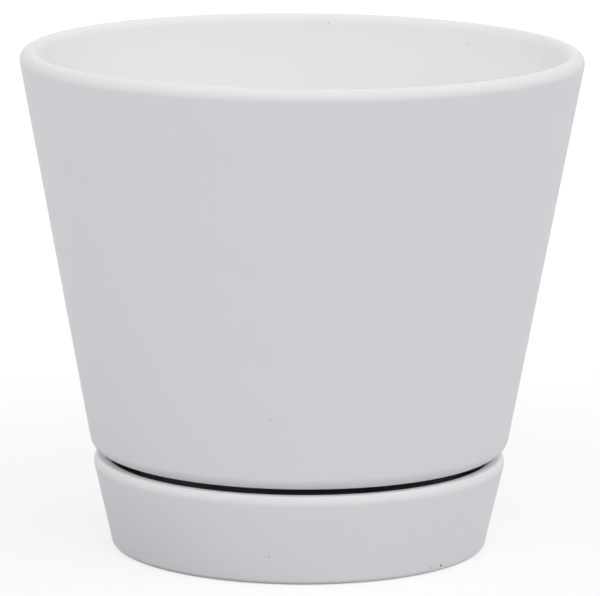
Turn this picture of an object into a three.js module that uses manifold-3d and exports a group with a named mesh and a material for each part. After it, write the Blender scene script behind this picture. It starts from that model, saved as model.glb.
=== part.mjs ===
// Glazed ceramic planter that nests in its own saucer, with a shadow gap between the two.
// Millimetres, +Z up. The origin is on the ground at the centre of the saucer.

import * as THREE from 'three';
import { mergeVertices, toCreasedNormals } from 'three/addons/utils/BufferGeometryUtils.js';
import Module from 'manifold-3d';

// Planter body
const rimDiameter = 203.2; // across the widest part of the lip
const overallHeight = 181.5; // ground to the top of the lip
const potLean = 10.5; // degrees off the vertical
const potWall = 7.2;
const potFloor = 7.0;
const shoulderRound = 5.5; // lower edge of the wall, above the saucer
const innerCove = 9.0; // inside corner between the wall and the ledge
const ledgeRound = 4.0; // edge of the ledge, where the inside steps down into the foot
const wellCove = 6.0; // inside corner between the foot's wall and the floor

// Foot of the planter, which drops into the saucer and stands on its floor
const footDraft = 4.0; // degrees off the vertical
const footNeck = 3.0; // inside corner between the foot and the shoulder
const footEdge = 1.6;
const footRingWidth = 8.0;
const footRecess = 3.0; // height of the floor's underside above the saucer
const footClearance = 1.5; // foot to the start of the saucer's cove
const drainDiameter = 15.0;
const drainRound = 2.0;
const notchCount = 4; // weep notches through the foot ring
const notchWidth = 12.0;
const notchDepth = 2.4;
const notchOverrun = 3.0; // how far the notch cutter passes each side of the ring

// Saucer
const shadowGap = 2.1; // saucer's lip to the planter's shoulder
const saucerHeight = 33.5;
const saucerLean = 12.9; // degrees off the vertical
const saucerWall = 6.4;
const saucerFloor = 5.5;
const saucerCove = 5.0;
const saucerHeel = 2.4; // outside corner at the ground
const saucerLipUpright = 3.56; // height of the lip's upright outside, above a slight bend in the wall
const saucerLipBend = 10.0;
const saucerLipEdge = 1.6;
const saucerLipRoll = 3.4; // the lip's inside edge
const saucerStepWidth = 0.6; // saucer's wall line outside the planter's, at the saucer's lip
const standRingWidth = 8.0;
const standRecess = 2.0; // height of the saucer's underside above the ground
const standEdge = 1.0;

// Smoothness of the facets
const turns = 72; // facets round the axis
const facetDepth = 0.07; // deepest that a facet cuts into a fillet
const cutterSides = 32;
const creaseAngle = 35; // degrees: a sharper edge than this is shaded as an edge

const wasm = await Module();
wasm.setup();

const radians = THREE.MathUtils.degToRad;

// A corner of an outline: radius from the axis, height and fillet.
const corner = (r, z, fillet = 0) => ({ at: new THREE.Vector2(r, z), fillet });

// The planter's wall is of even thickness, leans outwards and ends in a full-round lip.
function planterWall() {
  const half = potWall / 2;
  const tilt = radians(potLean);
  const centre = new THREE.Vector2(rimDiameter / 2 - half, overallHeight - seatHeight - half);
  const up = new THREE.Vector2(Math.sin(tilt), Math.cos(tilt)).multiplyScalar(half);
  const out = new THREE.Vector2(Math.cos(tilt), -Math.sin(tilt)).multiplyScalar(half);
  const face = (side) => (z) =>
    centre.x + (side * half) / Math.cos(tilt) + (z - centre.y) * Math.tan(tilt);
  const lipOuter = centre.clone().add(up).add(out);
  const lipInner = centre.clone().add(up).sub(out);
  return {
    outer: face(1),
    inner: face(-1),
    lip: [corner(lipOuter.x, lipOuter.y, half), corner(lipInner.x, lipInner.y, half)],
  };
}

// Distance from a corner to where its fillet leaves the straight side.
function filletReach(before, at, after, radius) {
  const a = before.clone().sub(at).angle();
  const b = after.clone().sub(at).angle();
  const opening = Math.acos(Math.cos(a - b));
  return radius / Math.tan(opening / 2);
}

// Angles along an arc. They include its highest and widest points, so overall sizes come out exact.
function arcAngles(first, sweep, stepAngle) {
  const quarter = Math.PI / 2;
  const low = Math.min(first, first + sweep);
  const high = Math.max(first, first + sweep);
  const stops = [];
  for (let k = Math.ceil(low / quarter); k * quarter < high; k += 1) stops.push(k * quarter);
  const angles = [low];
  for (const stop of [...stops, high]) {
    const start = angles[angles.length - 1];
    const steps = Math.ceil((stop - start) / stepAngle);
    for (let i = 1; i <= steps; i += 1) angles.push(start + ((stop - start) * i) / steps);
  }
  return sweep < 0 ? angles.reverse() : angles;
}

// The points of one rounded corner. A fillet takes at most half of the shorter side.
function filletPoints(before, { at, fillet }, after) {
  if (fillet === 0) return [at];
  const toBefore = before.clone().sub(at);
  const toAfter = after.clone().sub(at);
  const room = Math.min(toBefore.length(), toAfter.length()) / 2;
  const wanted = filletReach(before, at, after, fillet);
  const reach = Math.min(wanted, room);
  const radius = (fillet * reach) / wanted;
  const middle = toBefore.normalize().clone().add(toAfter.normalize()).normalize();
  const centre = at.clone().addScaledVector(middle, Math.hypot(reach, radius));
  const first = at.clone().addScaledVector(toBefore, reach).sub(centre).angle();
  const last = at.clone().addScaledVector(toAfter, reach).sub(centre).angle();
  const sweep = Math.atan2(Math.sin(last - first), Math.cos(last - first));
  const stepAngle = 2 * Math.acos(1 - Math.min(facetDepth / radius, 1));
  return arcAngles(first, sweep, stepAngle).map((angle) =>
    new THREE.Vector2(Math.cos(angle), Math.sin(angle)).multiplyScalar(radius).add(centre),
  );
}

// An outline with its corners rounded. A closed one comes back to its first point.
function roundedOutline(corners, closed) {
  const count = corners.length;
  const points = corners.flatMap((here, i) => {
    const before = corners[(i + count - 1) % count].at;
    const after = corners[(i + 1) % count].at;
    return filletPoints(before, here, after);
  });
  const outline = points.filter((p, i) => i === 0 || p.distanceTo(points[i - 1]) > 1e-4);
  return closed ? [...outline, outline[0].clone()] : outline;
}

// An outline turned about the vertical axis, as one closed surface.
function turned(outline) {
  const geometry = new THREE.LatheGeometry(outline, turns).rotateX(Math.PI / 2);
  return closedSurface(geometry);
}

function closedSurface(geometry) {
  geometry.deleteAttribute('normal');
  geometry.deleteAttribute('uv');
  return mergeVertices(geometry, 1e-4);
}

function toSolid(geometry) {
  const { array } = geometry.getAttribute('position');
  const mesh = new wasm.Mesh({ numProp: 3, vertProperties: array, triVerts: geometry.index.array });
  return new wasm.Manifold(mesh);
}

function toGeometry(solid) {
  const { vertProperties, triVerts } = solid.getMesh();
  const geometry = new THREE.BufferGeometry();
  geometry.setAttribute('position', new THREE.BufferAttribute(vertProperties, 3));
  return geometry.setIndex(new THREE.BufferAttribute(triVerts, 1));
}

function glazedMesh(name, geometry) {
  const glaze = new THREE.MeshStandardMaterial({ color: 0xdcdcdf, roughness: 0.42, metalness: 0 });
  const mesh = new THREE.Mesh(toCreasedNormals(geometry, radians(creaseAngle)), glaze);
  mesh.name = name;
  return mesh;
}

// Heights above the ground that the two pieces share
const seatHeight = standRecess + saucerFloor; // the saucer's floor, where the foot stands
const shoulderHeight = saucerHeight + shadowGap;

// The planter is drawn in its own frame, which starts at the seat.
const potSide = planterWall();
const potShoulder = shoulderHeight - seatHeight;

// The saucer carries the planter's wall line on downwards, at its own steeper lean.
function saucerWallLines() {
  const slope = Math.tan(radians(saucerLean));
  const thickness = saucerWall / Math.cos(radians(saucerLean));
  const wallLine = potSide.outer(saucerHeight - seatHeight) + saucerStepWidth;
  const outer = (z) => wallLine + (z - saucerHeight) * slope;
  const inner = (z) => outer(z) - thickness;
  const bendHeight = saucerHeight - saucerLipUpright;
  const lipRadius = outer(bendHeight);
  const lip = [
    corner(lipRadius, bendHeight, saucerLipBend),
    corner(lipRadius, saucerHeight, saucerLipEdge),
    corner(inner(saucerHeight), saucerHeight, saucerLipRoll),
  ];
  return { outer, inner, lip };
}

// The foot stands on the flat of the saucer's floor, inside its cove.
function footOutsideRadius() {
  const wallTop = new THREE.Vector2(saucerSide.inner(saucerHeight), saucerHeight);
  const floorCorner = new THREE.Vector2(saucerSide.inner(seatHeight), seatHeight);
  const floorCentre = new THREE.Vector2(0, seatHeight);
  const coveReach = filletReach(wallTop, floorCorner, floorCentre, saucerCove);
  return floorCorner.x - coveReach - footClearance;
}

const saucerSide = saucerWallLines();
const footRadius = footOutsideRadius();

function saucer() {
  const base = saucerSide.outer(0);
  const standInner = base - saucerHeel - standRingWidth;
  const corners = [
    corner(0, standRecess),
    corner(standInner, standRecess, standEdge),
    corner(standInner, 0, standEdge),
    corner(base, 0, saucerHeel),
    ...saucerSide.lip,
    corner(saucerSide.inner(seatHeight), seatHeight, saucerCove),
    corner(0, seatHeight),
  ];
  return turned(roundedOutline(corners, false));
}

function potBody() {
  const draft = Math.tan(radians(footDraft));
  const footSide = (z) => footRadius + z * draft;
  const wellSide = (z) => footSide(z) - potWall / Math.cos(radians(footDraft));
  const ledge = potShoulder + potWall;
  const floorTop = footRecess + potFloor;
  const ringInner = footRadius - footRingWidth;
  const drain = drainDiameter / 2;
  const corners = [
    corner(footRadius, 0, footEdge),
    corner(footSide(potShoulder), potShoulder, footNeck),
    corner(potSide.outer(potShoulder), potShoulder, shoulderRound),
    ...potSide.lip,
    corner(potSide.inner(ledge), ledge, innerCove),
    corner(wellSide(ledge), ledge, ledgeRound),
    corner(wellSide(floorTop), floorTop, wellCove),
    corner(drain, floorTop, drainRound),
    corner(drain, footRecess, drainRound / 2),
    corner(ringInner, footRecess, footEdge / 2),
    corner(ringInner, 0, footEdge / 2),
  ];
  return turned(roundedOutline(corners, true));
}

// A weep notch is a shallow arch, cut by a round bar laid across the foot ring.
function notchCutter(turn) {
  const barRadius = (notchWidth ** 2 / 4 + notchDepth ** 2) / (2 * notchDepth);
  const length = footRingWidth + 2 * notchOverrun;
  const bar = new THREE.CylinderGeometry(barRadius, barRadius, length, cutterSides);
  bar.rotateZ(Math.PI / 2);
  bar.translate(footRadius - footRingWidth / 2, 0, notchDepth - barRadius);
  bar.rotateZ(turn);
  return toSolid(closedSurface(bar));
}

// The notches stand halfway between the axes, away from the front.
function notchedPot() {
  let solid = toSolid(potBody());
  for (let i = 0; i < notchCount; i += 1) {
    solid = solid.subtract(notchCutter(((i + 0.5) * 2 * Math.PI) / notchCount));
  }
  return toGeometry(solid);
}

function planterPot() {
  const pot = glazedMesh('planter_pot', notchedPot());
  pot.position.z = seatHeight;
  return pot;
}

const planter = new THREE.Group();
planter.name = 'planter_with_saucer';
planter.add(glazedMesh('saucer', saucer()), planterPot());

export default planter;
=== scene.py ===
# Glazed ceramic planter on its own saucer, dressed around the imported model. Metres, +Z up.
import math
import bpy
from mathutils import Matrix, Vector, noise


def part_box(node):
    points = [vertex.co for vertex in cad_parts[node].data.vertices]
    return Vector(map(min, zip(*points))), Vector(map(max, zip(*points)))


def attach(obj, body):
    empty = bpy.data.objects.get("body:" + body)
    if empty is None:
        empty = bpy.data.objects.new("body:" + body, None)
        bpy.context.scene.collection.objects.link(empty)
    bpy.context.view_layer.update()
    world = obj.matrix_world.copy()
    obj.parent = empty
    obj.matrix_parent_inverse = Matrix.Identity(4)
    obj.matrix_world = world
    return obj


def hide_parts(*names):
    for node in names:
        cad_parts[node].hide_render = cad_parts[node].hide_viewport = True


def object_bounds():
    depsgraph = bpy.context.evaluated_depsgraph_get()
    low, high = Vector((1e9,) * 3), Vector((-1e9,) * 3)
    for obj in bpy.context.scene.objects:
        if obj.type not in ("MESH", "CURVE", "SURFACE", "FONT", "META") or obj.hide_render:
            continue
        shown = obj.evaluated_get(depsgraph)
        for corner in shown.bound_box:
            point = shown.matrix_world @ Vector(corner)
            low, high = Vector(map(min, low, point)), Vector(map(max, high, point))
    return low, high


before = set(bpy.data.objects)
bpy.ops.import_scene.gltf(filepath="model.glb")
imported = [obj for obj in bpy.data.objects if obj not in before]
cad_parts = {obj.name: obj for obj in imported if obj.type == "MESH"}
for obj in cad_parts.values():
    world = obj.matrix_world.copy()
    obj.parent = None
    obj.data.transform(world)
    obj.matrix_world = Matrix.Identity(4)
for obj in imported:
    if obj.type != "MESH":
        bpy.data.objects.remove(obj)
cadLow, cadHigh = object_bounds()
mm = 0.001
potLow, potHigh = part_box("planter_pot")
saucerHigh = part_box("saucer")[1]
seat = potLow.z / mm  # the saucer's floor, where the planter's foot stands
print("stage: model loaded with", len(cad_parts), "pieces")


def addObject(name, data):
    thing = bpy.data.objects.new(name, data)
    bpy.context.scene.collection.objects.link(thing)
    return thing


def clamp(value):
    return min(max(value, 0), 1)


# camera
photoView = {
    "widthPixels": 600,
    "pixelsPerMetre": 2758,  # at the aim point
    "distance": 1.9,
    "elevation": 10.75,  # degrees, as is the roll
    "aimSide": -0.12 * mm,
    "aimHeight": 90.5 * mm,
    "roll": 0.43,  # the photograph is turned a little clockwise
    "farthest": 100,  # nothing further away is shown
}


def addCamera():
    camera = addObject("camera", bpy.data.cameras.new("camera"))
    lift = math.radians(photoView["elevation"])
    back = Vector((0, -math.cos(lift), math.sin(lift)))
    aim = Vector((photoView["aimSide"], 0, photoView["aimHeight"]))
    facing = (-back).to_track_quat("-Z", "Y").to_matrix().to_4x4()
    turn = Matrix.Rotation(math.radians(photoView["roll"]), 4, "Z")
    camera.matrix_world = Matrix.Translation(aim + back * photoView["distance"]) @ facing @ turn
    pixels = photoView["pixelsPerMetre"] * photoView["distance"]
    camera.data.lens = camera.data.sensor_width * pixels / photoView["widthPixels"]
    camera.data.clip_end = photoView["farthest"]
    bpy.context.scene.camera = camera


addCamera()
print("stage: camera placed")


# turned outlines: a corner is (radius, height, fillet) in mm
# a path is the list of lines and arcs that round the corners, in metres
outlining = {
    "shortest": 0.001 * mm,  # a line or arc no longer than this is left out
    "searchStep": 0.05 * mm,  # how finely a path is searched for a spot
}


def leaningWall(rimRadius, top, wall, lean):  # ends in a full-round lip
    half, tilt = wall / 2, math.radians(lean)
    centre = Vector((rimRadius - half, top - half))
    up = Vector((math.sin(tilt), math.cos(tilt))) * half
    out = Vector((math.cos(tilt), -math.sin(tilt))) * half

    def radiusAt(side, height):  # side is 1 for the outer face and -1 for the inner one
        return centre.x + side * half / math.cos(tilt) + (height - centre.y) * math.tan(tilt)

    return radiusAt, [(*(centre + up + out), half), (*(centre + up - out), half)]


def filletReach(before, at, after, fillet):
    return fillet / math.tan((before - at).angle(after - at) / 2)


def filletArc(before, at, after, fillet):  # takes at most half of the line on each side
    toBefore, toAfter = (before - at).normalized(), (after - at).normalized()
    wanted = filletReach(before, at, after, fillet)
    reach = min(wanted, (before - at).length / 2, (after - at).length / 2)
    radius = fillet * reach / wanted
    centre = at + (toBefore + toAfter).normalized() * math.hypot(reach, radius)
    first, last = at + toBefore * reach - centre, at + toAfter * reach - centre
    start = math.atan2(first.y, first.x)
    sweep = math.remainder(math.atan2(last.y, last.x) - start, 2 * math.pi)
    return {
        "centre": centre,
        "radius": radius,
        "start": start,
        "sweep": sweep,
        "length": radius * abs(sweep),
    }


def straightLine(start, end):
    return {"from": start, "to": end, "length": (end - start).length}


def pieceSpot(piece, share):  # point and outward normal along one line or arc
    if "centre" not in piece:
        along = (piece["to"] - piece["from"]).normalized()
        return piece["from"].lerp(piece["to"], share), Vector((along.y, -along.x))
    angle = piece["start"] + piece["sweep"] * share
    spoke = Vector((math.cos(angle), math.sin(angle)))
    return piece["centre"] + spoke * piece["radius"], spoke * math.copysign(1, piece["sweep"])


def pathSpot(path, distance):  # the same, at a distance along the whole path
    for piece in path:
        if distance <= piece["length"] or piece is path[-1]:
            return pieceSpot(piece, clamp(distance / piece["length"]))
        distance -= piece["length"]


def roundedPath(corners, closed):
    spots = [Vector((radius, height)) * mm for radius, height, _ in corners]
    path, pen, opening = [], None, None
    for i, (_, _, fillet) in enumerate(corners):
        enter = leave = spots[i]
        arc = None
        if fillet and (closed or 0 < i < len(corners) - 1):
            arc = filletArc(spots[i - 1], spots[i], spots[(i + 1) % len(spots)], fillet * mm)
            enter, leave = pieceSpot(arc, 0)[0], pieceSpot(arc, 1)[0]
        if pen is not None:
            path.append(straightLine(pen, enter))
        opening = opening or enter
        if arc:
            path.append(arc)
        pen = leave
    if closed:
        path.append(straightLine(pen, opening))
    return [piece for piece in path if piece["length"] > outlining["shortest"]]


def distanceTo(path, radius, height):  # how far along the path it comes nearest to a spot in mm
    spot, step = Vector((radius, height)) * mm, outlining["searchStep"]
    stops = range(int(sum(piece["length"] for piece in path) / step))
    return step * min(stops, key=lambda i: (pathSpot(path, i * step)[0] - spot).length)


# turned bodies: rows follow the path, and crowd round each edge of the glaze
turning = {
    "columns": 320,
    "arcStep": 6.5,  # degrees
    "lineStep": 3.2 * mm,
    "edgeRows": (-1.3, -0.6, -0.25, 0.0, 0.2, 0.45, 0.8, 1.5),  # mm from the glaze's edge
    "edgeReach": 1.9 * mm,  # these rows are the only ones this near to it
    "axisReach": 0.01 * mm,  # nearer to the axis than this, a row is a single point
    "sway": 0.5 * mm,  # how far the glaze's edge wanders along the path
    "swayReach": 6 * mm,
    "swayRing": 2.2,  # a larger ring through the noise makes shorter waves
    "swayApart": 7.3,  # keeps the waves of one edge unlike those of the other
    "glazeDepth": 0.3 * mm,
    "glazeRoll": 0.7 * mm,  # the glaze reaches full depth this far from its edge
    "thinReach": 1.6 * mm,  # and looks thin over about this far
    "restReach": 3 * mm,  # a surface moves in full this far above what the piece stands on
    "wander": 0.13 * mm,  # how far the fired wall wanders, always inwards
    "wanderScale": 14,
}


def rowDistances(path, edges):
    rows, start = [], 0
    for piece in path:
        if "centre" in piece:
            steps = math.ceil(math.degrees(abs(piece["sweep"])) / turning["arcStep"])
        else:
            steps = math.ceil(piece["length"] / turning["lineStep"])
        rows += [start + piece["length"] * i / steps for i in range(steps)]
        start += piece["length"]
    rows = [r for r in rows if all(abs(r - edge) > turning["edgeReach"] for edge in edges)]
    for edge, inwards in zip(edges, (1, -1)):
        if edge < start:  # an edge past the path's end is no edge: the glaze runs to the axis
            rows += [edge + inwards * offset * mm for offset in turning["edgeRows"]]
    return sorted(rows), start


def eased(share):
    return share ** 2 * (3 - 2 * share)


def edgeSway(distance, angle, edges, seed):  # the rows near an edge move along the path together
    size, sway = turning["swayRing"], 0
    for i, edge in enumerate(edges):
        closeness = clamp(1 - abs(distance - edge) / turning["swayReach"])
        if closeness:
            level = seed + i * turning["swayApart"]
            wave = noise.noise(Vector((math.cos(angle) * size, math.sin(angle) * size, level)))
            sway += 2 * wave * turning["sway"] * eased(closeness)  # waves seldom pass 0.5
    return sway


def insideGlaze(distance, glaze):  # the glaze runs from one distance along the path to another
    return min(distance - glaze[0], glaze[1] - distance)


def turnedRow(path, distance, glaze, restHeight, shape, seed):  # one point on the axis, or a ring
    spot = pathSpot(path, distance)[0]
    if spot.x < turning["axisReach"]:
        return [Vector((0, 0, spot.y))]
    rolled = clamp(insideGlaze(distance, glaze) / turning["glazeRoll"])
    inset = turning["glazeDepth"] * (1 - math.sqrt(1 - (1 - rolled) ** 2))
    ring = []
    for k in range(turning["columns"]):
        angle = 2 * math.pi * k / turning["columns"]
        spot, normal = pathSpot(path, distance + edgeSway(distance, angle, glaze, seed))
        rest = clamp((spot.y - restHeight) / turning["restReach"])
        point = Vector((math.cos(angle), math.sin(angle), 0)) * (spot.x - normal.x * inset)
        point.z = spot.y - normal.y * inset * rest
        ring.append(shape(point, angle))
    return ring


def turnedFaces(rows, stops, glaze):  # the faces between rows of point numbers, and which are bare
    faces, bare = [], []
    for low, high, start, end in zip(rows, rows[1:], stops, stops[1:]):
        for k in range(turning["columns"]):
            j = (k + 1) % turning["columns"]
            corners = (low[k], low[j], high[j], high[k])
            faces.append(list(dict.fromkeys(corners)))  # a triangle where two meet on the axis
            bare.append(not glaze[0] < (start + end) / 2 < glaze[1])
    return faces, bare


def turnedMesh(name, path, closed, glaze, restHeight, shape, seed):
    distances, total = rowDistances(path, glaze)
    stops = distances + [total]
    points, thin, rows = [], [], []
    for distance in distances if closed else stops:
        row = turnedRow(path, distance, glaze, restHeight, shape, seed)
        rows.append([len(points) + k % len(row) for k in range(turning["columns"])])
        points += row
        depth = max(insideGlaze(distance, glaze), 0)
        thin += [math.exp(-depth / turning["thinReach"])] * len(row)
    if closed:
        rows.append(rows[0])
    faces, bare = turnedFaces(rows, stops, glaze)
    mesh = bpy.data.meshes.new(name)
    mesh.from_pydata(points, [], faces)
    mesh.polygons.foreach_set("material_index", [int(b) for b in bare])
    mesh.polygons.foreach_set("use_smooth", [True] * len(faces))
    mesh.attributes.new("thinGlaze", "FLOAT", "POINT").data.foreach_set("value", thin)
    mesh.update()
    return addObject(name, mesh)


def wander(point, seed):  # slow unevenness of a fired wall, from 0 to the full amount
    spot = point * turning["wanderScale"] + Vector((seed, seed, seed))
    return turning["wander"] * clamp((1 + noise.noise(spot)) / 2)


def drawnIn(point, amount):  # moved towards the axis
    share = 1 - amount / math.hypot(point.x, point.y)
    return Vector((point.x * share, point.y * share, point.z))


print("stage: outlines ready")


# saucer, in mm and degrees: bends, edges, rolls, coves and the heel are radii
saucer = {
    "lean": 12.9,
    "wall": 6.4,
    "widestBelowTop": 3.56,  # this far below its top the wall is as wide as the solid
    "lipHeight": 2.5,  # the last of the wall turns in a little, as the glaze has rounded it
    "lipTurn": 19,
    "lipBend": 5,
    "lipEdge": 1.2,
    "lipRoll": 3,
    "cove": 5,
    "heel": 2.4,
    "standWidth": 8,
    "standRecess": 2,
    "standEdge": 1,
    "glazeEdge": 2.6,  # how far in from the wall line the glaze stops, under the heel
    "glazeSeed": 11,  # another seed makes another glaze line, or another unevenness of the wall
    "wallSeed": 3.1,
}
saucerRim, saucerTop = saucerHigh.x / mm, saucerHigh.z / mm


def saucerWallAt(side, height):  # side is 1 for the outer face and -1 for the inner one
    lean = math.radians(saucer["lean"])
    outer = saucerRim + (height - saucerTop + saucer["widestBelowTop"]) * math.tan(lean)
    return outer if side > 0 else outer - saucer["wall"] / math.cos(lean)


saucerBase = saucerWallAt(1, 0)


def saucerPath():
    standInner = saucerBase - saucer["heel"] - saucer["standWidth"]
    lipStart = saucerWallAt(1, saucerTop - saucer["lipHeight"])
    lipEnd = lipStart - saucer["lipHeight"] * math.tan(math.radians(saucer["lipTurn"]))
    corners = [
        (0, saucer["standRecess"], 0),
        (standInner, saucer["standRecess"], saucer["standEdge"]),
        (standInner, 0, saucer["standEdge"]),
        (saucerBase, 0, saucer["heel"]),
        (lipStart, saucerTop - saucer["lipHeight"], saucer["lipBend"]),
        (lipEnd, saucerTop, saucer["lipEdge"]),
        (saucerWallAt(-1, saucerTop), saucerTop, saucer["lipRoll"]),
        (saucerWallAt(-1, seat), seat, saucer["cove"]),
        (0, seat, 0),
    ]
    return roundedPath(corners, False)


def shapeSaucer(point, _):
    risen = clamp(point.z / turning["restReach"])  # the stand ring stays flat on the ground
    return drawnIn(point, wander(point, saucer["wallSeed"]) * risen)


def addSaucer():
    path = saucerPath()
    heelEdge = distanceTo(path, saucerBase - saucer["glazeEdge"], 0)
    piece = turnedMesh(
        "saucerGlazed",
        path,
        closed=False,
        glaze=(heelEdge, math.inf),
        restHeight=0,
        shape=shapeSaucer,
        seed=saucer["glazeSeed"],
    )
    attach(piece, "saucer")
    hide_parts("saucer")
    return piece


saucerPiece = addSaucer()
print("stage: saucer turned with", len(saucerPiece.data.polygons), "faces")


# planter, in mm and degrees: rounds, coves, edges and the neck are radii
planter = {
    "lean": 10.5,
    "wall": 7.2,
    "floor": 7,
    "shoulder": 35.6,  # height of the shoulder's underside
    "shoulderRound": 5.5,
    "glazeUnder": 3,  # how far the glaze runs on under the shoulder
    "innerCove": 9,
    "ledgeRound": 4,
    "wellCove": 6,
    "footDraft": 4,
    "footNeck": 3,
    "footEdge": 1.6,
    "footRing": 8,
    "footRecess": 3,
    "footClearance": 1.5,  # from the saucer's cove
    "drain": 15,
    "drainRound": 2,
    "notches": 4,
    "notchWidth": 12,
    "notchDepth": 2.4,
    "kilnLean": 0.04,  # to the right, above the foot
    "rimDrop": 0.08,  # the lean lifts the left of the rim by nearly as much
    "glazeSeed": 23,
    "wallSeed": 8.7,
}
potWallAt, potLip = leaningWall(potHigh.x / mm, potHigh.z / mm, planter["wall"], planter["lean"])


def footRadius():
    wallTop = Vector((saucerWallAt(-1, saucerTop), saucerTop))
    floorCorner = Vector((saucerWallAt(-1, seat), seat))
    reach = filletReach(wallTop, floorCorner, Vector((0, seat)), saucer["cove"])
    return floorCorner.x - reach - planter["footClearance"]


def footSide(height):
    return footRadius() + (height - seat) * math.tan(math.radians(planter["footDraft"]))


def wellSide(height):
    return footSide(height) - planter["wall"] / math.cos(math.radians(planter["footDraft"]))


def planterPath():
    ledge = planter["shoulder"] + planter["wall"]
    underside = seat + planter["footRecess"]
    floorTop = underside + planter["floor"]
    ringInner = footRadius() - planter["footRing"]
    drain = planter["drain"] / 2
    corners = [
        (footRadius(), seat, planter["footEdge"]),
        (footSide(planter["shoulder"]), planter["shoulder"], planter["footNeck"]),
        (potWallAt(1, planter["shoulder"]), planter["shoulder"], planter["shoulderRound"]),
        *potLip,
        (potWallAt(-1, ledge), ledge, planter["innerCove"]),
        (wellSide(ledge), ledge, planter["ledgeRound"]),
        (wellSide(floorTop), floorTop, planter["wellCove"]),
        (drain, floorTop, planter["drainRound"]),
        (drain, underside, planter["drainRound"] / 2),
        (ringInner, underside, planter["footEdge"] / 2),
        (ringInner, seat, planter["footEdge"] / 2),
    ]
    return roundedPath(corners, True)


def notchLift(angle):  # the shallow arch of a weep notch in the foot ring's edge
    apart = 2 * math.pi / planter["notches"]
    off = abs(math.remainder(angle - apart / 2, apart))
    half, depth = planter["notchWidth"] / 2, planter["notchDepth"]
    aside = footRadius() * math.sin(off)
    if off > apart / 4 or aside > half:
        return 0
    bar = (half ** 2 + depth ** 2) / (2 * depth)
    return (depth - bar + math.sqrt(bar ** 2 - aside ** 2)) * mm


def shapePlanter(point, angle):
    height = point.z / mm
    ring = clamp((height - seat) / planter["footRecess"])
    risen = clamp((height - seat) / (planter["shoulder"] - seat))
    upper = clamp((height - planter["shoulder"]) / (potHigh.z / mm - planter["shoulder"]))
    tilt = math.tan(math.radians(planter["kilnLean"])) * point.x
    point = drawnIn(point, wander(point, planter["wallSeed"]) * upper)
    point.z += notchLift(angle) * (1 - ring) - tilt * risen - planter["rimDrop"] * mm * upper
    return point


def addPlanter():
    path = planterPath()
    shoulderStart = potWallAt(1, planter["shoulder"]) - planter["shoulderRound"]
    neckEdge = distanceTo(path, shoulderStart - planter["glazeUnder"], planter["shoulder"])
    drainEdge = distanceTo(path, planter["drain"] / 2, seat + planter["footRecess"])
    piece = turnedMesh(
        "planterGlazed",
        path,
        closed=True,
        glaze=(neckEdge, drainEdge),
        restHeight=seat * mm,
        shape=shapePlanter,
        seed=planter["glazeSeed"],
    )
    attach(piece, "pot")
    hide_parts("planter_pot")
    return piece


planterPiece = addPlanter()
print("stage: planter turned with", len(planterPiece.data.polygons), "faces")


# shader nodes: feeds maps a socket's name or number to a value, or to the socket that feeds it
def feed(tree, node, feeds):
    for key, value in feeds.items():
        if isinstance(value, bpy.types.NodeSocket):
            tree.links.new(value, node.inputs[key])
        else:
            node.inputs[key].default_value = value


def place(tree, kind, feeds=None, **settings):
    node = tree.nodes.new("ShaderNode" + kind)
    for name, value in settings.items():
        setattr(node, name, value)
    feed(tree, node, feeds or {})
    return node


def blend(tree, share, low, high, mode="MIX"):
    feeds = {0: share, 6: low, 7: high}  # with output 2, the sockets that mix colours
    return place(tree, "Mix", feeds, data_type="RGBA", blend_type=mode).outputs[2]


def maths(tree, operation, a, b=0.0):
    return place(tree, "Math", {0: a, 1: b}, operation=operation).outputs[0]


def distanceFrom(tree, spot, centre=(0, 0, 0)):
    return place(tree, "VectorMath", {0: spot, 1: centre}, operation="DISTANCE").outputs["Value"]


def ramped(tree, value, low, high, fromLow, fromHigh):  # a smooth step from low to high
    feeds = {
        "Value": value,
        "From Min": fromLow,
        "From Max": fromHigh,
        "To Min": low,
        "To Max": high,
    }
    return place(tree, "MapRange", feeds, interpolation_type="SMOOTHSTEP").outputs[0]


def cloudy(tree, scale, detail, roughness=0.5):
    coords = place(tree, "TexCoord").outputs["Object"]
    feeds = {"Vector": coords, "Scale": scale, "Detail": detail, "Roughness": roughness}
    return place(tree, "TexNoise", feeds).outputs["Fac"]


def startGroup(name, inputs, outputs):
    group = bpy.data.node_groups.new(name, "ShaderNodeTree")
    kinds = {"Colour": "NodeSocketColor", "Value": "NodeSocketFloat"}
    for label, kind, value in inputs:
        socket = group.interface.new_socket(name=label, in_out="INPUT", socket_type=kinds[kind])
        socket.default_value = value
    for label, kind in outputs:
        group.interface.new_socket(name=label, in_out="OUTPUT", socket_type=kinds[kind])
    given = group.nodes.new("NodeGroupInput").outputs
    return group, given, group.nodes.new("NodeGroupOutput")


def placeGroup(tree, group, feeds):
    return place(tree, "Group", feeds, node_tree=group).outputs


# surfaces: clouds are (scale, detail, roughness), and ranges say where a cloud fades from 0 to 1
glazeOut = [("Colour", "Colour"), ("Roughness", "Value"), ("Height", "Value")]
clayOut = [("Colour", "Colour"), ("Height", "Value")]
glazeTexture = {
    "drifts": (30, 3, 0.6),  # from the one white to the other
    "driftRange": (0.34, 0.66),
    "thinRange": (0.15, 1),  # the thinness at which the clay starts to show, and shows most
    "sheen": (60, 4),  # duller and shinier patches
    "waves": (38, 1),
    "peel": (520, 1),  # fine ripples over the waves
    "peelHeight": 0.12,
}
clayTexture = {
    "wobble": (40, 2),  # how the turning rings wander
    "wobbleDepth": 6,  # radians
    "specks": (1500, 2),
    "speckRange": (0.62, 0.72),
    "speckHeight": 0.3,
    "patches": (45, 4),
    "patchRange": (0.3, 0.7),
    "patchTones": (0.82, 1.12),  # what the darkest and the palest patch multiply the colour by
    "grain": (900, 3),
}


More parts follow.
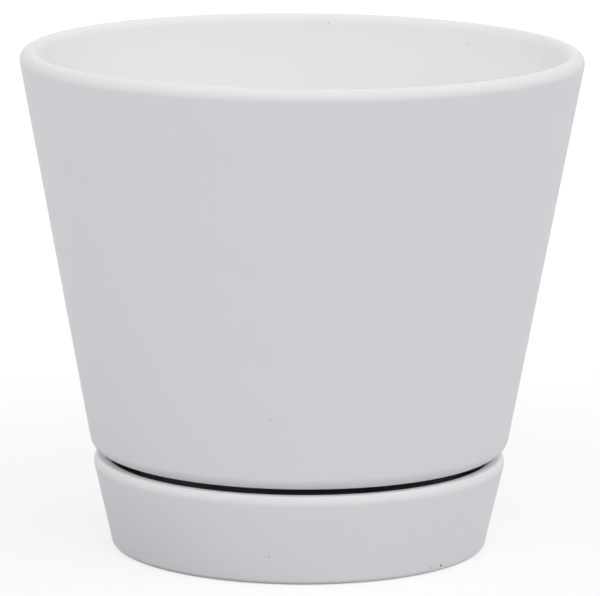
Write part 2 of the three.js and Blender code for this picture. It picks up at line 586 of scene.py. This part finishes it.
def glazeGroup():  # cloudy white glaze that shows the clay where it runs thin
    inputs = [
        ("Glaze", "Colour", (0.8, 0.8, 0.8, 1)),
        ("Cloud", "Colour", (0.8, 0.8, 0.8, 1)),
        ("Thin Glaze", "Colour", (0.5, 0.5, 0.5, 1)),
        ("Thinness", "Value", 0),
        ("Roughness", "Value", 0.5),
        ("Roughness Spread", "Value", 0.1),
    ]
    tree, given, out = startGroup("cloudyGlaze", inputs, glazeOut)
    drifts = ramped(tree, cloudy(tree, *glazeTexture["drifts"]), 0, 1, *glazeTexture["driftRange"])
    glaze = blend(tree, drifts, given["Glaze"], given["Cloud"])
    veil = ramped(tree, given["Thinness"], 0, 1, *glazeTexture["thinRange"])
    uneven = maths(tree, "SUBTRACT", cloudy(tree, *glazeTexture["sheen"]), 0.5)  # a cloud's middle
    spread = maths(tree, "MULTIPLY", uneven, given["Roughness Spread"])
    peel = maths(tree, "MULTIPLY", cloudy(tree, *glazeTexture["peel"]), glazeTexture["peelHeight"])
    feed(tree, out, {
        "Colour": blend(tree, veil, glaze, given["Thin Glaze"]),
        "Roughness": maths(tree, "ADD", given["Roughness"], spread),
        "Height": maths(tree, "ADD", cloudy(tree, *glazeTexture["waves"]), peel),
    })
    return tree


def clayGroup():  # bare stoneware with grit and faint turning rings
    inputs = [
        ("Clay", "Colour", (0.1, 0.1, 0.1, 1)),
        ("Grit", "Colour", (0.3, 0.3, 0.3, 1)),
        ("Ring Spacing", "Value", 0.002),
        ("Ring Depth", "Value", 0.2),
    ]
    tree, given, out = startGroup("bareClayAndGapShade", inputs, clayOut)
    coords = place(tree, "TexCoord").outputs["Object"]
    flat = place(tree, "VectorMath", {0: coords, 1: (1, 1, 0)}, operation="MULTIPLY").outputs[0]
    turns = maths(tree, "DIVIDE", distanceFrom(tree, flat), given["Ring Spacing"])
    phase = maths(tree, "MULTIPLY", turns, 2 * math.pi)
    wobble = cloudy(tree, *clayTexture["wobble"])
    wobble = maths(tree, "MULTIPLY", wobble, clayTexture["wobbleDepth"])
    rings = maths(tree, "SINE", maths(tree, "ADD", phase, wobble))
    specks = ramped(tree, cloudy(tree, *clayTexture["specks"]), 0, 1, *clayTexture["speckRange"])
    cloud = cloudy(tree, *clayTexture["patches"])
    patches = ramped(tree, cloud, *clayTexture["patchTones"], *clayTexture["patchRange"])
    shades = place(tree, "CombineColor", {0: patches, 1: patches, 2: patches}).outputs[0]
    clayAndGapShade = blend(tree, 1.0, given["Clay"], shades, "MULTIPLY")
    ringed = maths(tree, "MULTIPLY", rings, given["Ring Depth"])
    raised = maths(tree, "MULTIPLY", specks, clayTexture["speckHeight"])
    grain = maths(tree, "ADD", cloudy(tree, *clayTexture["grain"]), raised)
    feed(tree, out, {
        "Colour": blend(tree, specks, clayAndGapShade, given["Grit"]),
        "Height": maths(tree, "ADD", ringed, grain),
    })
    return tree


# pinholes: (degrees round from the front, height, width, face), as the photograph shows them
# heights and widths are in mm, and the face is 1 for the outside and -1 for the inside
pinholes = {
    "edge": (0.7, 1.3),  # shares of its radius over which a pinhole fades
    "saucer": [(-8.5, 10.7, 0.38, 1), (43.8, 2.3, 0.42, 1), (48.3, 2.3, 0.9, 1)],
    "planter": [
        (-7.1, 62.6, 0.3, 1),
        (-7.5, 62.1, 0.24, 1),
        (-7.7, 61.4, 0.2, 1),
        (-34.2, 39, 0.3, 1),
        (174, 178, 0.35, -1),
        (139, 174, 0.37, -1),
        (102, 179, 0.43, -1),
        (116, 172, 0.4, -1),
        (110, 173, 0.43, -1),
    ],
}


def pinholeSpots():
    pieces = {"saucer": (saucerPiece, saucerWallAt), "planter": (planterPiece, potWallAt)}
    for name, (piece, wallAt) in pieces.items():
        for degrees, height, width, face in pinholes[name]:
            angle, radius = math.radians(degrees), wallAt(face, height) * mm
            spot = Vector((radius * math.sin(angle), -radius * math.cos(angle), height * mm))
            yield piece.closest_point_on_mesh(spot)[1], width / 2 * mm


def pinholeGroup():  # small holes where the glaze has pulled back off the clay
    inputs = [
        ("Colour", "Colour", (0.8, 0.8, 0.8, 1)),
        ("Roughness", "Value", 0.5),
        ("Height", "Value", 0),
        ("Clay", "Colour", (0.1, 0.1, 0.1, 1)),
        ("Depth", "Value", 1),
    ]
    tree, given, out = startGroup("pinholes", inputs, glazeOut)
    coords = place(tree, "TexCoord").outputs["Object"]
    nearest = None
    for spot, radius in pinholeSpots():
        away = maths(tree, "DIVIDE", distanceFrom(tree, coords, spot), radius)
        nearest = away if nearest is None else maths(tree, "MINIMUM", nearest, away)
    hole = ramped(tree, nearest, 1, 0, *pinholes["edge"])
    sunk = maths(tree, "MULTIPLY", hole, given["Depth"])
    feed(tree, out, {
        "Colour": blend(tree, hole, given["Colour"], given["Clay"]),
        "Roughness": maths(tree, "MAXIMUM", given["Roughness"], hole),
        "Height": maths(tree, "SUBTRACT", given["Height"], sunk),
    })
    return tree


print("stage: shader groups ready")


# finishes: a faintly pink white that drifts to a cooler one, over grey stoneware whose darkness is
# partly painted shade for the gap between planter and saucer
finishes = {
    "glaze": (0.918, 0.901, 0.919, 1),
    "cloud": (0.899, 0.907, 0.911, 1),
    "thinGlaze": (0.42, 0.41, 0.42, 1),
    # bare stoneware of the foot and undersides: its dark bluish grey is partly painted shade that
    # darkens the gap under the planter's shoulder
    "clayAndGapShade": (0.17, 0.163, 0.2, 1),
    "grit": (0.29, 0.28, 0.3, 1),
    "pinhole": (0.095, 0.09, 0.115, 1),
    "pinholeDepth": 1,  # in units of the glaze's relief
    "glazeRoughness": 0.52,
    "glazeSpread": 0.12,
    "glazeSpecular": 0.28,
    "glazeRelief": 0.05 * mm,
    "clayRoughness": 0.92,
    "claySpecular": 0.25,
    "clayRelief": 0.12 * mm,
    "ringSpacing": 2 * mm,
    "ringDepth": 0.2,  # in units of the clay's relief
}
glazeTree, clayTree, pinholeTree = glazeGroup(), clayGroup(), pinholeGroup()


def newMaterial(name, specular):
    material = bpy.data.materials.new(name)
    material.use_nodes = True
    shader = material.node_tree.nodes["Principled BSDF"]
    shader.inputs["Specular IOR Level"].default_value = specular
    return material, material.node_tree, shader


def finishShader(tree, shader, colour, roughness, height, relief):
    bump = place(tree, "Bump", {"Height": height, "Distance": relief, "Strength": 1.0})
    feed(tree, shader, {
        "Base Color": colour,
        "Roughness": roughness,
        "Normal": bump.outputs["Normal"],
    })


def glazeMaterial(name):
    material, tree, shader = newMaterial(name, finishes["glazeSpecular"])
    thin = place(tree, "Attribute", attribute_name="thinGlaze").outputs["Fac"]
    glaze = placeGroup(tree, glazeTree, {
        "Glaze": finishes["glaze"],
        "Cloud": finishes["cloud"],
        "Thin Glaze": finishes["thinGlaze"],
        "Thinness": thin,
        "Roughness": finishes["glazeRoughness"],
        "Roughness Spread": finishes["glazeSpread"],
    })
    holed = placeGroup(tree, pinholeTree, {
        "Colour": glaze["Colour"],
        "Roughness": glaze["Roughness"],
        "Height": glaze["Height"],
        "Clay": finishes["pinhole"],
        "Depth": finishes["pinholeDepth"],
    })
    finishShader(
        tree,
        shader,
        colour=holed["Colour"],
        roughness=holed["Roughness"],
        height=holed["Height"],
        relief=finishes["glazeRelief"],
    )
    return material


def clayMaterial(name):
    material, tree, shader = newMaterial(name, finishes["claySpecular"])
    clayAndGapShade = placeGroup(tree, clayTree, {
        "Clay": finishes["clayAndGapShade"],
        "Grit": finishes["grit"],
        "Ring Spacing": finishes["ringSpacing"],
        "Ring Depth": finishes["ringDepth"],
    })
    finishShader(
        tree,
        shader,
        colour=clayAndGapShade["Colour"],
        roughness=finishes["clayRoughness"],
        height=clayAndGapShade["Height"],
        relief=finishes["clayRelief"],
    )
    return material


# the bare clay, darkened as painted shade in the gap between planter and saucer
bareClayAndGapShade = clayMaterial("bareStonewareAndGapShade")
for piece, name in ((saucerPiece, "saucerGlaze"), (planterPiece, "planterGlaze")):
    piece.data.materials.append(glazeMaterial(name))
    piece.data.materials.append(bareClayAndGapShade)
print("stage: glaze and clay applied")


# studio: a white dome, brightest in a wide ring above the horizon, and a pale floor
# places on the dome are for a radius of 1, and those on the floor are in metres
studio = {
    "ring": 1.766,  # brightness of the ring, and of the dome above it
    "top": 0.25,
    "ringStart": (0.165, 0.385),  # heights between which the ring begins, and ends
    "ringEnd": (0.765, 0.885),
    "leftShare": 0.62,  # how much of the light stays on the left, and where it dims
    "leftReach": (-0.23, 1.06),
    "leftLower": 0.175,  # how much lower the ring starts on the left, and where it sinks
    "lowerReach": (0.42, 0.62),
    "backShare": 0.5,  # how much of the light stays at the back, and where it dims
    "backReach": (0.29, 0.49),
    "floorWidth": 14,
    "floorTone": (0.541, 0.556, 0.592, 1),  # the light that the floor gives back is a little blue
    "floorPaintedContactShade": (0.495, 0.51, 0.545, 1),  # painted contact shade: it gives a little less back near the saucer
    "paintedContactShadeReach": (0.07, 0.2),
    "floorPaintedShadow": (0.28, 0.305, 0.34, 1),
    "paintedShadowPlace": (-0.06, 0, 0),  # and a painted shadow gives less again round here, by the saucer's left side
    "paintedShadowReach": (0.035, 0.12),
    "floorGlow": (0.68, 0.8),  # a glow that only the camera sees, near and far
    "glowReach": (0.12, 0.7),
    "floorShade": 0.34,  # the floor's own tone under that glow, which shows the shadow
}
white = (1, 1, 1, 1)


def seenBy(tree):  # 1 for rays that show the background itself
    path = place(tree, "LightPath").outputs
    glossy = maths(tree, "MAXIMUM", path["Is Glossy Ray"], path["Is Transmission Ray"])
    return maths(tree, "MAXIMUM", path["Is Camera Ray"], glossy)


def domeLevel(tree):
    way = place(tree, "SeparateXYZ", {0: place(tree, "TexCoord").outputs["Generated"]}).outputs
    left = maths(tree, "MULTIPLY", way["X"], -1.0)
    leftOf = ramped(tree, left, 1, studio["leftShare"], *studio["leftReach"])
    behind = ramped(tree, way["Y"], 1, studio["backShare"], *studio["backReach"])
    lowered = ramped(tree, left, 0, studio["leftLower"], *studio["lowerReach"])
    start = ramped(tree, maths(tree, "ADD", way["Z"], lowered), 0, 1, *studio["ringStart"])
    ring = ramped(tree, way["Z"], studio["ring"], studio["top"], *studio["ringEnd"])
    level = maths(tree, "MULTIPLY", ring, start)
    return maths(tree, "MULTIPLY", level, maths(tree, "MULTIPLY", leftOf, behind))


def addDome():
    world = bpy.data.worlds.new("dome")
    bpy.context.scene.world = world
    world.use_nodes = True
    tree = world.node_tree
    light = place(tree, "Background", {"Color": white, "Strength": domeLevel(tree)})
    seen = place(tree, "Background", {"Color": white, "Strength": 1.0})
    mixed = place(tree, "MixShader", {0: seenBy(tree), 1: light.outputs[0], 2: seen.outputs[0]})
    output = next(n for n in tree.nodes if n.type == "OUTPUT_WORLD")
    tree.links.new(mixed.outputs[0], output.inputs["Surface"])


def floorColour(tree, spot, apart):  # what the floor gives back to the pieces, with painted contact shade and a painted shadow by the saucer's left side
    far = ramped(tree, apart, 0, 1, *studio["paintedContactShadeReach"])
    tone = blend(tree, far, studio["floorPaintedContactShade"], studio["floorTone"])
    outsidePaintedShadow = ramped(tree, distanceFrom(tree, spot, studio["paintedShadowPlace"]), 0, 1, *studio["paintedShadowReach"])
    return blend(tree, outsidePaintedShadow, studio["floorPaintedShadow"], tone)


def floorMaterial():
    material = bpy.data.materials.new("paleFloor")
    material.use_nodes = True
    tree = material.node_tree
    shade = studio["floorShade"]
    spot = place(tree, "NewGeometry").outputs["Position"]
    apart = distanceFrom(tree, spot)
    bounceWithPaintedShade = place(tree, "BsdfDiffuse", {"Color": floorColour(tree, spot, apart)})
    shaded = place(tree, "BsdfDiffuse", {"Color": (shade, shade, shade, 1)})
    glowing = ramped(tree, apart, *studio["floorGlow"], *studio["glowReach"])
    glow = place(tree, "Emission", {"Color": white, "Strength": glowing})
    seen = place(tree, "AddShader", {0: shaded.outputs[0], 1: glow.outputs[0]})
    mixed = place(tree, "MixShader", {0: seenBy(tree), 1: bounceWithPaintedShade.outputs[0], 2: seen.outputs[0]})
    tree.links.new(mixed.outputs[0], tree.nodes["Material Output"].inputs["Surface"])
    return material


def addFloor():
    half = studio["floorWidth"] / 2
    mesh = bpy.data.meshes.new("floor")
    sides = ((-half, -half), (half, -half), (half, half), (-half, half))
    mesh.from_pydata([(x, y, cadLow.z) for x, y in sides], [], [(0, 1, 2, 3)])
    mesh.materials.append(floorMaterial())
    floor = addObject("floor", mesh)


addDome()
addFloor()
bpy.context.scene.view_settings.view_transform = "Standard"
print("stage: studio ready")
